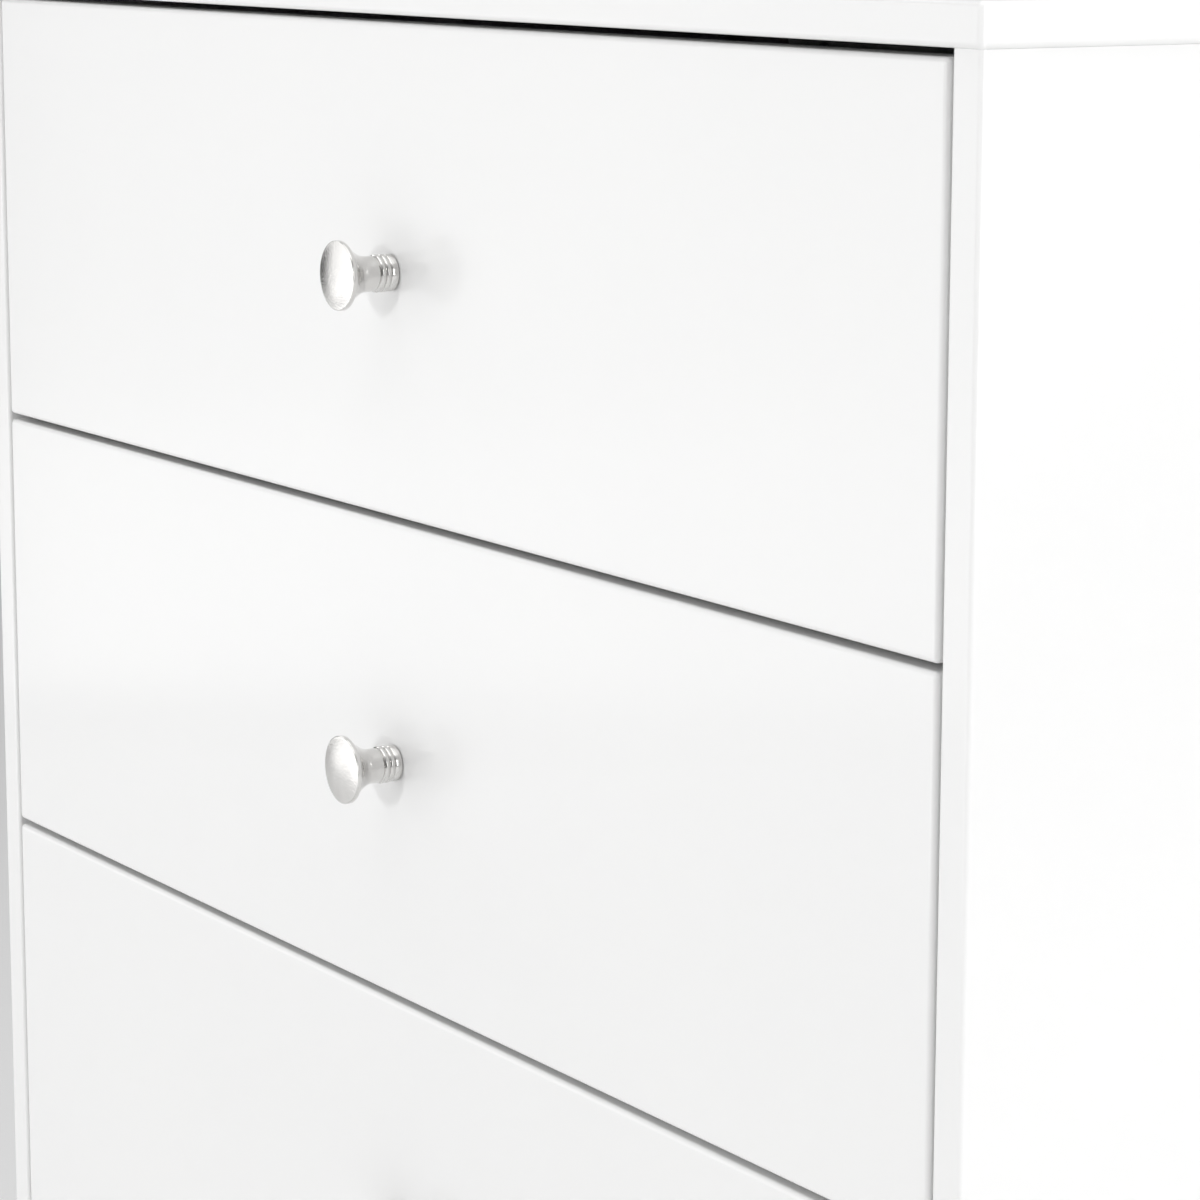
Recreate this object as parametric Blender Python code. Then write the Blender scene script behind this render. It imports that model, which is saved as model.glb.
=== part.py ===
"""Tall chest of drawers in white foiled board.

Two side panels carry a thin top panel that overhangs them slightly. Five inset drawers,
each with one turned metal knob, run on plastic strips that sit in a groove in the drawer sides.

Frame: metres, +X to the right, fronts face -Y, +Z up. The origin is on the floor, under the
middle of the whole chest with its knobs.
"""

import math

import bmesh
import bpy
from mathutils import Matrix, Vector

# Driving dimensions
DRAWER_COUNT = 5
FRONT_WIDTH = 0.7594
FRONT_HEIGHT = 0.2058
BOARD = 0.0160
REVEAL = 0.0023
ROW_GAP = 0.0028
TOP_GAP = 0.0031
OVERHANG = 0.0020
PLINTH_HEIGHT = 0.0880
CASE_DEPTH = 0.4980
KNOB_PROJECTION = 0.0272
KNOB_OFFSET = 0.0065
TOUCH_GAP = 0.0003

# Edges of the boards
FRONT_ROUNDING = 0.0023
PANEL_ROUNDING = 0.0020
TOP_ROUNDING = 0.0024
ROUNDING_SEGMENTS = 3

# Back of the case
HARDBOARD = 0.0030
STRIP_WALL = 0.0008
STRIP_LIP = 0.0080
BACK_ZONE = HARDBOARD + STRIP_WALL + 2 * TOUCH_GAP
BACK_JOINT_HEIGHT = 0.5600

# Rails and plinth
PLINTH_SETBACK = 0.0200
REAR_PLINTH_INSET = 0.0300
REAR_RAIL_HEIGHT = 0.0800
MIDDLE_RAIL_DEPTH = 0.0600
MIDDLE_RAIL_GAP = 0.0030
MIDDLE_RAIL_DROP = 0.0040
MIDDLE_RAIL_UNDER = 3

# Wall anchor, an angle of steel plate
ANCHOR_WIDTH = 0.0400
ANCHOR_LEG = 0.0250
ANCHOR_PLATE = 0.0020
ANCHOR_HOLE_RADIUS = 0.0025

# Drawer box
BOX_BOARD = 0.0120
BOX_SIDE_GAP = 0.0025
BOX_HEIGHT = 0.1500
BOX_DEPTH = 0.4500
BOX_LIFT = 0.0160
BOTTOM_LIFT = 0.0100
BOTTOM_GROOVE_DEPTH = 0.0050

# Runner strip and its groove
RUNNER_GROOVE_HEIGHT = 0.0170
RUNNER_GROOVE_DEPTH = 0.0070
RUNNER_PLAY = 0.0008
RUNNER_LENGTH = 0.4000
RUNNER_SETBACK = 0.0300
RUNNER_NOSE = 0.0040

# Turned knob and its screw
KNOB_HEAD_RADIUS = 0.0145
KNOB_NECK_RADIUS = 0.0074
KNOB_BASE_RADIUS = 0.0080
KNOB_BEAD_HEIGHT = 0.0012
KNOB_FLARE_END = 0.0210
KNOB_RIM = 0.0022
KNOB_FLARE_POWER = 2.4
KNOB_FLARE_STEPS = 6
KNOB_DOME_INSET = 0.0015
KNOB_SIDES = 24
BORE_RADIUS = 0.0023
BORE_DEPTH = 0.0125
SCREW_RADIUS = 0.0020
SCREW_HEAD_RADIUS = 0.0040
SCREW_HEAD_HEIGHT = 0.0024
SCREW_ENGAGEMENT = 0.0115
SCREW_HOLE_RADIUS = 0.0025
SCREW_SIDES = 16

# Worked out from the driving dimensions
PITCH = FRONT_HEIGHT + ROW_GAP
TOTAL_DEPTH = CASE_DEPTH + KNOB_PROJECTION
FACE_Y = KNOB_PROJECTION - TOTAL_DEPTH / 2
REAR_Y = TOTAL_DEPTH / 2
SIDE_REAR_Y = REAR_Y - BACK_ZONE
INNER_X = FRONT_WIDTH / 2 + REVEAL
OUTER_X = INNER_X + BOARD
TOP_X = OUTER_X + OVERHANG
LOWEST_FRONT_Z = PLINTH_HEIGHT + ROW_GAP
UNDERSIDE_Z = LOWEST_FRONT_Z + DRAWER_COUNT * PITCH - ROW_GAP + TOP_GAP
TOTAL_HEIGHT = UNDERSIDE_Z + BOARD
BOX_X = INNER_X - BOX_SIDE_GAP
BOX_INNER_X = BOX_X - BOX_BOARD
FRONT_BACK_Y = FACE_Y + BOARD
BOX_FRONT_Y = FRONT_BACK_Y + TOUCH_GAP
BOX_REAR_Y = BOX_FRONT_Y + BOX_DEPTH
RUNNER_X = BOX_X - RUNNER_GROOVE_DEPTH + RUNNER_PLAY
RUNNER_HEIGHT = RUNNER_GROOVE_HEIGHT - 2 * TOUCH_GAP

BACKWARD = Matrix.Rotation(-math.pi / 2, 4, "X")


def finish(name, colour, roughness, metallic=0.0):
    """Make a Principled material."""
    material = bpy.data.materials.new(name)
    material.use_nodes = True
    shader = material.node_tree.nodes["Principled BSDF"]
    shader.inputs["Base Color"].default_value = (*colour, 1.0)
    shader.inputs["Roughness"].default_value = roughness
    shader.inputs["Metallic"].default_value = metallic
    return material


def make_finishes():
    """Make the finishes that the pieces share."""
    return {
        "foil": finish("white_foil", (0.90, 0.90, 0.89), 0.32),
        "box": finish("drawer_box_foil", (0.86, 0.86, 0.85), 0.45),
        "hardboard": finish("white_hardboard", (0.80, 0.80, 0.78), 0.60),
        "plastic": finish("white_plastic", (0.83, 0.83, 0.81), 0.40),
        "nickel": finish("polished_nickel", (0.72, 0.71, 0.69), 0.18, 1.0),
        "zinc": finish("zinc_plated_steel", (0.62, 0.63, 0.65), 0.35, 1.0),
    }


def add_object(name, shape, place, material, parent=None):
    """Turn a bmesh, built around its own origin, into an object at a place."""
    mesh = bpy.data.meshes.new(name)
    shape.to_mesh(mesh)
    shape.free()
    mesh.materials.append(material)
    obj = bpy.data.objects.new(name, mesh)
    bpy.context.scene.collection.objects.link(obj)
    obj.parent = parent
    obj.location = Vector(place) - (parent.location if parent else Vector())
    return obj


def box_shape(size):
    """Build a box around the origin."""
    shape = bmesh.new()
    bmesh.ops.create_cube(shape, size=1.0)
    bmesh.ops.scale(shape, vec=size, verts=shape.verts)
    return shape


def middle(low, high):
    """Return the middle point between two corners."""
    return [(a + b) / 2 for a, b in zip(low, high)]


def span(low, high):
    """Return the size between two corners."""
    return [b - a for a, b in zip(low, high)]


def round_edges(shape, axes, radius, spared_y=None):
    """Round the edges that run along the named axes, except those in the plane Y = spared_y."""
    chosen = []
    for edge in shape.edges:
        start, end = (vert.co for vert in edge.verts)
        runs_along = max("XYZ", key=lambda axis: abs((end - start)["XYZ".index(axis)]))
        spared = spared_y is not None and abs(start.y - spared_y) < 1e-6 and abs(end.y - spared_y) < 1e-6
        if runs_along in axes and not spared:
            chosen.append(edge)
    bmesh.ops.bevel(
        shape, geom=chosen, offset=radius, segments=ROUNDING_SEGMENTS, affect="EDGES", profile=0.5
    )


def board(name, low, high, material, parent=None, rounding=0.0, axes=""):
    """Add a board between two corners, with the edges along the named axes rounded."""
    shape = box_shape(span(low, high))
    if rounding > 0:
        round_edges(shape, axes, rounding)
    return add_object(name, shape, middle(low, high), material, parent)


def profile_shape(points, length):
    """Extrude a closed outline in XZ along Y, centred on the origin."""
    shape = bmesh.new()
    corners = [shape.verts.new((x, -length / 2, z)) for x, z in points]
    face = shape.faces.new(corners)
    extruded = bmesh.ops.extrude_face_region(shape, geom=[face])
    moved = [item for item in extruded["geom"] if isinstance(item, bmesh.types.BMVert)]
    bmesh.ops.translate(shape, vec=(0, length, 0), verts=moved)
    bmesh.ops.recalc_face_normals(shape, faces=shape.faces)
    return shape


def turned_shape(profile, sides):
    """Spin an outline of (radius, distance) pairs, which starts and ends on the axis, about Y."""
    shape = bmesh.new()
    ring = [shape.verts.new((radius, distance, 0)) for radius, distance in profile]
    edges = [shape.edges.new(pair) for pair in zip(ring, ring[1:])]
    bmesh.ops.spin(
        shape, geom=ring + edges, cent=(0, 0, 0), axis=(0, 1, 0), angle=2 * math.pi, steps=sides
    )
    bmesh.ops.remove_doubles(shape, verts=shape.verts, dist=1e-6)
    bmesh.ops.recalc_face_normals(shape, faces=shape.faces)
    return shape


def smooth(obj, angle=35):
    """Shade a round piece smooth and keep its sharp edges."""
    obj.data.shade_smooth()
    obj.data.set_sharp_from_angle(angle=math.radians(angle))


def cut(obj, cutter):
    """Cut a piece with a hidden cutter."""
    cutter.hide_render = True
    cutter.display_type = "WIRE"
    boolean = obj.modifiers.new(cutter.name, "BOOLEAN")
    boolean.operation = "DIFFERENCE"
    boolean.solver = "EXACT"
    boolean.object = cutter


def rod_cutter(name, radius, length, centre, turn, material, parent=None):
    """Add a round cutter whose axis is Z until it is turned."""
    shape = bmesh.new()
    bmesh.ops.create_cone(
        shape, cap_ends=True, segments=SCREW_SIDES, radius1=radius, radius2=radius, depth=length,
        matrix=turn,
    )
    return add_object(name, shape, centre, material, parent)


def make_case(finishes):
    """Make the carcass: side panels, top, bottom, plinth and rails."""
    foil = finishes["foil"]
    for name, side in (("left_side_panel", -1), ("right_side_panel", 1)):
        inner, outer = sorted((side * INNER_X, side * OUTER_X))
        low, high = (inner, FACE_Y, 0), (outer, SIDE_REAR_Y, UNDERSIDE_Z - TOUCH_GAP)
        board(name, low, high, foil, rounding=PANEL_ROUNDING, axes="Z")
    low, high = (-TOP_X, FACE_Y - OVERHANG, UNDERSIDE_Z), (TOP_X, REAR_Y, TOTAL_HEIGHT)
    board("top_panel", low, high, foil, rounding=TOP_ROUNDING, axes="XYZ")

    reach = INNER_X - TOUCH_GAP
    low, high = (-reach, FACE_Y, PLINTH_HEIGHT - BOARD), (reach, SIDE_REAR_Y, PLINTH_HEIGHT)
    board("bottom_panel", low, high, foil, rounding=PANEL_ROUNDING, axes="X")
    plinth_top = PLINTH_HEIGHT - BOARD - TOUCH_GAP
    plinth_y = FACE_Y + PLINTH_SETBACK
    board("plinth_front", (-reach, plinth_y, 0), (reach, plinth_y + BOARD, plinth_top), foil)
    rear_y = SIDE_REAR_Y - REAR_PLINTH_INSET
    board("plinth_rear", (-reach, rear_y - BOARD, 0), (reach, rear_y, plinth_top), foil)

    rail_top = UNDERSIDE_Z - TOUCH_GAP
    low = (-reach, SIDE_REAR_Y - BOARD, rail_top - REAR_RAIL_HEIGHT)
    board("top_rear_rail", low, (reach, SIDE_REAR_Y, rail_top), foil)
    rail_y = FRONT_BACK_Y + MIDDLE_RAIL_GAP
    rail_top = LOWEST_FRONT_Z + (DRAWER_COUNT - MIDDLE_RAIL_UNDER) * PITCH - MIDDLE_RAIL_DROP
    low = (-reach, rail_y, rail_top - BOARD)
    board("middle_rail", low, (reach, rail_y + MIDDLE_RAIL_DEPTH, rail_top), foil)


def make_back(finishes):
    """Make the two hardboard back panels and the plastic strip that joins them."""
    rear = REAR_Y - STRIP_WALL - TOUCH_GAP
    low_z = PLINTH_HEIGHT - BOARD
    high_z = UNDERSIDE_Z - TOUCH_GAP
    web = STRIP_WALL / 2
    edge = web + TOUCH_GAP
    panels = (
        ("back_panel_lower", low_z, BACK_JOINT_HEIGHT - edge),
        ("back_panel_upper", BACK_JOINT_HEIGHT + edge, high_z),
    )
    for name, bottom, top in panels:
        low, high = (-OUTER_X, rear - HARDBOARD, bottom), (OUTER_X, rear, top)
        board(name, low, high, finishes["hardboard"])

    wall = HARDBOARD / 2 + TOUCH_GAP
    outside = wall + STRIP_WALL
    half = [(web, -wall), (STRIP_LIP, -wall), (STRIP_LIP, -outside)]
    outline = half + [(-z, y) for z, y in reversed(half)]
    outline += [(-z, -y) for z, y in half] + [(z, -y) for z, y in reversed(half)]
    shape = profile_shape([(y, z) for z, y in outline], 2 * INNER_X - 2 * REVEAL)
    bmesh.ops.rotate(shape, cent=(0, 0, 0), matrix=Matrix.Rotation(math.pi / 2, 3, "Z"), verts=shape.verts)
    place = (0, rear - HARDBOARD / 2, BACK_JOINT_HEIGHT)
    add_object("back_joint_strip", shape, place, finishes["plastic"])


def make_wall_anchor(finishes):
    """Make the steel angle that ties the rear rail and the top to the wall."""
    rail_y = SIDE_REAR_Y - BOARD - TOUCH_GAP
    top_z = UNDERSIDE_Z - TOUCH_GAP
    leg, plate = ANCHOR_LEG, ANCHOR_PLATE
    outline = [(0, 0), (-leg, 0), (-leg, -plate), (-plate, -plate), (-plate, -leg), (0, -leg)]
    shape = profile_shape(outline, ANCHOR_WIDTH)
    bmesh.ops.rotate(shape, cent=(0, 0, 0), matrix=Matrix.Rotation(math.pi / 2, 3, "Z"), verts=shape.verts)
    anchor = add_object("wall_anchor_bracket", shape, (0, rail_y, top_z), finishes["zinc"])
    hole_depth = 4 * ANCHOR_PLATE
    middle_of_leg = (ANCHOR_LEG + ANCHOR_PLATE) / 2
    wall_hole = rod_cutter(
        "wall_hole_cutter", ANCHOR_HOLE_RADIUS, hole_depth, (0, rail_y, top_z - middle_of_leg), BACKWARD,
        finishes["zinc"],
    )
    top_hole = rod_cutter(
        "top_hole_cutter", ANCHOR_HOLE_RADIUS, hole_depth, (0, rail_y - middle_of_leg, top_z),
        Matrix.Identity(4), finishes["zinc"],
    )
    cut(anchor, wall_hole)
    cut(anchor, top_hole)


def make_runners(number, front_z, finishes):
    """Make the two plastic strips that one drawer runs on, with a tapered nose in front."""
    centre_z = front_z + BOX_LIFT + BOX_HEIGHT / 2
    start = FACE_Y + RUNNER_SETBACK
    centre_x = (INNER_X - TOUCH_GAP + RUNNER_X) / 2
    thickness = INNER_X - TOUCH_GAP - RUNNER_X
    for name, side in (("left", -1), ("right", 1)):
        shape = box_shape((thickness, RUNNER_LENGTH, RUNNER_HEIGHT))
        nose = [
            edge for edge in shape.edges
            if all(vert.co.y < 0 for vert in edge.verts) and abs(edge.verts[0].co.x - edge.verts[1].co.x) > 1e-6
        ]
        bmesh.ops.bevel(shape, geom=nose, offset=RUNNER_NOSE, segments=2, affect="EDGES", profile=0.5)
        place = (side * centre_x, start + RUNNER_LENGTH / 2, centre_z)
        add_object(f"runner_{number}_{name}", shape, place, finishes["plastic"])


def front_shape():
    """Build a drawer front, with its face edge and its four corners rounded over."""
    shape = box_shape((FRONT_WIDTH, BOARD, FRONT_HEIGHT))
    round_edges(shape, "XYZ", FRONT_ROUNDING, spared_y=BOARD / 2)
    return shape


def side_outline(side):
    """Return the section of a drawer side: runner groove outside, bottom groove inside."""
    half = BOX_BOARD / 2
    low, high = -BOX_HEIGHT / 2, BOX_HEIGHT / 2
    runner = RUNNER_GROOVE_HEIGHT / 2
    floor_low = low + BOTTOM_LIFT - TOUCH_GAP
    floor_high = low + BOTTOM_LIFT + HARDBOARD + TOUCH_GAP
    outside = [
        (half, low), (half, -runner), (half - RUNNER_GROOVE_DEPTH, -runner),
        (half - RUNNER_GROOVE_DEPTH, runner), (half, runner), (half, high),
    ]
    inside = [
        (-half, high), (-half, floor_high), (BOTTOM_GROOVE_DEPTH - half, floor_high),
        (BOTTOM_GROOVE_DEPTH - half, floor_low), (-half, floor_low), (-half, low),
    ]
    return [(side * x, z) for x, z in outside + inside]


def make_drawer_box(prefix, parent, front_z, finishes):
    """Make the sides, back and bottom of one drawer."""
    low_z = front_z + BOX_LIFT
    centre_y = (BOX_FRONT_Y + BOX_REAR_Y) / 2
    for name, side in (("left_side", -1), ("right_side", 1)):
        place = (side * (BOX_X - BOX_BOARD / 2), centre_y, low_z + BOX_HEIGHT / 2)
        shape = profile_shape(side_outline(side), BOX_DEPTH)
        add_object(f"{prefix}_{name}", shape, place, finishes["box"], parent)

    reach = BOX_INNER_X - TOUCH_GAP
    floor_top = low_z + BOTTOM_LIFT + HARDBOARD
    low = (-reach, BOX_REAR_Y - BOX_BOARD, floor_top + TOUCH_GAP)
    high = (reach, BOX_REAR_Y, low_z + BOX_HEIGHT)
    board(f"{prefix}_back", low, high, finishes["box"], parent)
    reach = BOX_INNER_X + BOTTOM_GROOVE_DEPTH - TOUCH_GAP
    low = (-reach, FRONT_BACK_Y - BOTTOM_GROOVE_DEPTH + TOUCH_GAP, low_z + BOTTOM_LIFT)
    board(f"{prefix}_bottom", low, (reach, BOX_REAR_Y, floor_top), finishes["hardboard"], parent)


def make_front(prefix, parent, front_z, finishes):
    """Make one drawer front with its groove for the bottom and its hole for the knob screw."""
    foil = finishes["foil"]
    centre = (0, FACE_Y + BOARD / 2, front_z + FRONT_HEIGHT / 2)
    front = add_object(f"{prefix}_front", front_shape(), centre, foil, parent)
    groove_x = BOX_INNER_X + BOTTOM_GROOVE_DEPTH
    groove_z = front_z + BOX_LIFT + BOTTOM_LIFT - TOUCH_GAP
    low = (-groove_x, FRONT_BACK_Y - BOTTOM_GROOVE_DEPTH, groove_z)
    high = (groove_x, FRONT_BACK_Y + BOTTOM_GROOVE_DEPTH, groove_z + HARDBOARD + 2 * TOUCH_GAP)
    cut(front, board(f"{prefix}_groove_cutter", low, high, foil, parent))
    hole_name = f"{prefix}_hole_cutter"
    hole_centre = (KNOB_OFFSET, centre[1], centre[2])
    cut(front, rod_cutter(hole_name, SCREW_HOLE_RADIUS, 2 * BOARD, hole_centre, BACKWARD, foil, parent))


def knob_profile():
    """Outline of the knob from the middle of its face to the end of its bore, distances from the base."""
    bead = KNOB_BEAD_HEIGHT
    points = [
        (0, KNOB_PROJECTION),
        (KNOB_HEAD_RADIUS - KNOB_RIM, KNOB_PROJECTION - KNOB_DOME_INSET / 3),
        (KNOB_HEAD_RADIUS, KNOB_PROJECTION - KNOB_DOME_INSET),
    ]
    run = KNOB_FLARE_END - 3 * bead
    for step in range(KNOB_FLARE_STEPS, -1, -1):
        part = step / KNOB_FLARE_STEPS
        radius = KNOB_NECK_RADIUS + (KNOB_HEAD_RADIUS - KNOB_NECK_RADIUS) * part ** KNOB_FLARE_POWER
        points.append((radius, 3 * bead + run * part))
    points += [
        (KNOB_BASE_RADIUS, 2.5 * bead), (KNOB_BASE_RADIUS, 1.5 * bead), (KNOB_NECK_RADIUS, 1.25 * bead),
        (KNOB_BASE_RADIUS, bead), (KNOB_BASE_RADIUS, 0), (BORE_RADIUS, 0), (BORE_RADIUS, BORE_DEPTH),
        (0, BORE_DEPTH),
    ]
    return [(radius, -distance) for radius, distance in points]


def screw_profile():
    """Outline of the knob screw from its head to its tip, distances from the front's inner face."""
    tip = BOARD + SCREW_ENGAGEMENT
    return [
        (0, SCREW_HEAD_HEIGHT), (SCREW_HEAD_RADIUS * 0.7, SCREW_HEAD_HEIGHT),
        (SCREW_HEAD_RADIUS, SCREW_HEAD_HEIGHT / 2), (SCREW_HEAD_RADIUS, TOUCH_GAP),
        (SCREW_RADIUS, TOUCH_GAP), (SCREW_RADIUS, SCREW_RADIUS - tip), (SCREW_RADIUS / 2, -tip), (0, -tip),
    ]


def make_knob(prefix, parent, front_z, finishes):
    """Make one turned knob and the screw that holds it from inside the drawer."""
    height = front_z + FRONT_HEIGHT / 2
    shape = turned_shape(knob_profile(), KNOB_SIDES)
    bmesh.ops.scale(shape, vec=(1, (KNOB_PROJECTION - TOUCH_GAP) / KNOB_PROJECTION, 1), verts=shape.verts)
    seat = (KNOB_OFFSET, FACE_Y - TOUCH_GAP, height)
    knob = add_object(f"{prefix}_knob", shape, seat, finishes["nickel"], parent)
    shape = turned_shape(screw_profile(), SCREW_SIDES)
    place = (KNOB_OFFSET, FRONT_BACK_Y, height)
    screw = add_object(f"{prefix}_knob_screw", shape, place, finishes["zinc"], parent)
    smooth(knob)
    smooth(screw)


def make_drawer(number, finishes):
    """Make one drawer, counted from the top, on an empty that slides along -Y."""
    prefix = f"drawer_{number}"
    front_z = LOWEST_FRONT_Z + (DRAWER_COUNT - number) * PITCH
    slide = bpy.data.objects.new(f"{prefix}_slide", None)
    slide.location = (0, FACE_Y, front_z + BOX_LIFT + BOX_HEIGHT / 2)
    bpy.context.scene.collection.objects.link(slide)
    make_runners(number, front_z, finishes)
    make_front(prefix, slide, front_z, finishes)
    make_drawer_box(prefix, slide, front_z, finishes)
    make_knob(prefix, slide, front_z, finishes)


def main():
    """Build the chest in an empty scene."""
    for obj in list(bpy.data.objects):
        bpy.data.objects.remove(obj, do_unlink=True)
    finishes = make_finishes()
    make_case(finishes)
    make_back(finishes)
    make_wall_anchor(finishes)
    for number in range(1, DRAWER_COUNT + 1):
        make_drawer(number, finishes)


main()
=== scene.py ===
"""Tall white chest of drawers: its finished pieces, finishes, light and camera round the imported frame.

Metres, +X to the right, fronts face -Y, +Z up. Each piece takes its place from the frame's own boxes.
"""

import logging
import math
from dataclasses import dataclass, field
from enum import Enum
from typing import Callable, Sequence, Union

import bmesh
import bpy
from mathutils import Matrix, Vector


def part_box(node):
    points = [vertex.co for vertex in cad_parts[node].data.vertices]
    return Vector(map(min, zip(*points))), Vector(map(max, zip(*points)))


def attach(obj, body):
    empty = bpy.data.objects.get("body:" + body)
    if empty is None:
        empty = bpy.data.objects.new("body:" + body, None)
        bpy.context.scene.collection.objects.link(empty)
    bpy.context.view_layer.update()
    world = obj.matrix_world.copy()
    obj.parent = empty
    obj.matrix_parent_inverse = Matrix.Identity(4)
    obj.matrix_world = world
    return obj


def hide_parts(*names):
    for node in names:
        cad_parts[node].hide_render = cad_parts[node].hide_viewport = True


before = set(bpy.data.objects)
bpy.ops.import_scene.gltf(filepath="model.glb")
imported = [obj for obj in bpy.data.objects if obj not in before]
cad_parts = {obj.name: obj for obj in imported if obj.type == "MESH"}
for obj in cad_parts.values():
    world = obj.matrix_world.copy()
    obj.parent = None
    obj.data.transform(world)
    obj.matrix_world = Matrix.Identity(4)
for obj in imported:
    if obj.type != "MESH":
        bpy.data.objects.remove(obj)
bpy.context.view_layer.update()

LOG = logging.getLogger("chest")
DRAWERS = 5
CASE = "case"
EVEN = (1.0, 1.0, 1.0)  # no stretch along any axis
SQUARE_ON = 0.9  # how far a normal runs along a direction that its face looks in
PATCH_RANGE = (0.3, 0.7)  # the part of a noise that patches are made of
WAVE_RADIANS = 20.0  # turn of a Wave node at scale 1 in one metre
CUTTER_CLEARANCE = 0.001  # how far a cutter stands out of the face that it cuts

Triple = tuple[float, float, float]
Colour = Triple
Stops = tuple[tuple[float, Colour], ...]
Rings = list[tuple[float, float]]
Profile = tuple[tuple[float, float], ...]
Number = Union[float, "Signal"]
Object = bpy.types.Object
Material = bpy.types.Material
Element = Union[bmesh.types.BMEdge, bmesh.types.BMFace]


# ---- named options


class Slot(Enum):
    """The record's material slots."""

    FOIL = "white_foil"
    BOX_FOIL = "drawer_box_foil"
    HARDBOARD = "white_hardboard"
    PLASTIC = "white_plastic"
    NICKEL = "polished_nickel"
    ZINC = "zinc_plated_steel"


class Facing(Enum):
    """Directions that a face or a fastener's head looks in."""

    LEFT = (-1.0, 0.0, 0.0)
    RIGHT = (1.0, 0.0, 0.0)
    FRONT = (0.0, -1.0, 0.0)
    REAR = (0.0, 1.0, 0.0)
    DOWN = (0.0, 0.0, -1.0)
    UP = (0.0, 0.0, 1.0)

    @property
    def vector(self) -> Vector:
        """The direction as a vector."""
        return Vector(self.value)


class Rounding(Enum):
    """Which edges of a board are rounded over."""

    ALL = "all"
    UPRIGHT = "upright"
    LENGTHWISE = "lengthwise"
    ALL_BUT_REAR = "all but rear"


Places = Sequence[tuple[Vector, Facing]]


# ---- shader maths


class Signal:
    """A node's output that Python's operators combine into Math nodes."""

    def __init__(self, desk: "NodeDesk", socket: bpy.types.NodeSocket) -> None:
        """Wrap one output socket of a node."""
        self.desk = desk
        self.socket = socket

    def _math(self, operation: str, first: Number, second: Number) -> "Signal":
        """Add a Math node for two values and return its result."""
        return self.desk.node("Math", {"operation": operation}, {0: first, 1: second})

    def __add__(self, other: Number) -> "Signal":
        """Return self + other."""
        return self._math("ADD", self, other)

    def __radd__(self, other: Number) -> "Signal":
        """Return other + self."""
        return self._math("ADD", other, self)

    def __sub__(self, other: Number) -> "Signal":
        """Return self - other."""
        return self._math("SUBTRACT", self, other)

    def __rsub__(self, other: Number) -> "Signal":
        """Return other - self."""
        return self._math("SUBTRACT", other, self)

    def __mul__(self, other: Number) -> "Signal":
        """Return self * other."""
        return self._math("MULTIPLY", self, other)

    def __rmul__(self, other: Number) -> "Signal":
        """Return other * self."""
        return self._math("MULTIPLY", other, self)

    def output(self, name: str) -> "Signal":
        """Return another output of the same node."""
        return Signal(self.desk, self.socket.node.outputs[name])


class NodeDesk:
    """A node tree while its nodes are put together."""

    def __init__(self, tree: bpy.types.NodeTree) -> None:
        """Work on one node tree."""
        self.tree = tree

    def node(
        self,
        kind: str,
        settings: dict[str, object] | None = None,
        sockets: dict[int | str, object] | None = None,
        result: int | str = 0,
    ) -> Signal:
        """Add one node.

        Args:
            kind: The node's type, without its prefix.
            settings: Its own settings, set first; "stops" are a ramp's places and colours.
            sockets: Values or links of its sockets.
            result: Which output is returned.

        Returns:
            The chosen output.
        """
        made = self.tree.nodes.new("ShaderNode" + kind)
        for name, value in (settings or {}).items():
            if name == "stops":
                self._set_stops(made, value)
            else:
                setattr(made, name, value)
        for key, value in (sockets or {}).items():
            self.feed(made.inputs[key], value)
        return Signal(self, made.outputs[result])

    @staticmethod
    def _set_stops(ramp: bpy.types.Node, stops: Sequence[tuple[float, Colour]]) -> None:
        """Give a colour ramp its stops.

        Args:
            ramp: The ramp's node.
            stops: Place and colour of each stop.
        """
        elements = ramp.color_ramp.elements
        while len(elements) < len(stops):
            elements.new(0.5)
        for element, (place, colour) in zip(elements, stops):
            element.position = place
            element.color = (*colour, 1.0)

    def feed(self, socket: bpy.types.NodeSocket, value: object) -> None:
        """Link a signal to a socket, or set the socket's own value.

        Args:
            socket: The input to feed.
            value: A signal, a number, or a colour without its alpha.
        """
        if isinstance(value, Signal):
            self.tree.links.new(value.socket, socket)
        elif isinstance(value, tuple) and len(value) == 3 and socket.type == "RGBA":
            socket.default_value = (*value, 1.0)
        else:
            socket.default_value = value

    def span(
        self, value: Signal, low: float, high: float, start: float = 0.0, end: float = 1.0
    ) -> Signal:
        """Return `value` taken from low..high to start..end, held inside."""
        return self.node("MapRange", {"clamp": True}, {0: value, 1: low, 2: high, 3: start, 4: end})

    def along(self, direction: Signal, axis: Sequence[float]) -> Signal:
        """Return how far a direction runs along an axis."""
        sockets = {0: direction, 1: tuple(axis)}
        return self.node("VectorMath", {"operation": "DOT_PRODUCT"}, sockets, "Value")


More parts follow.
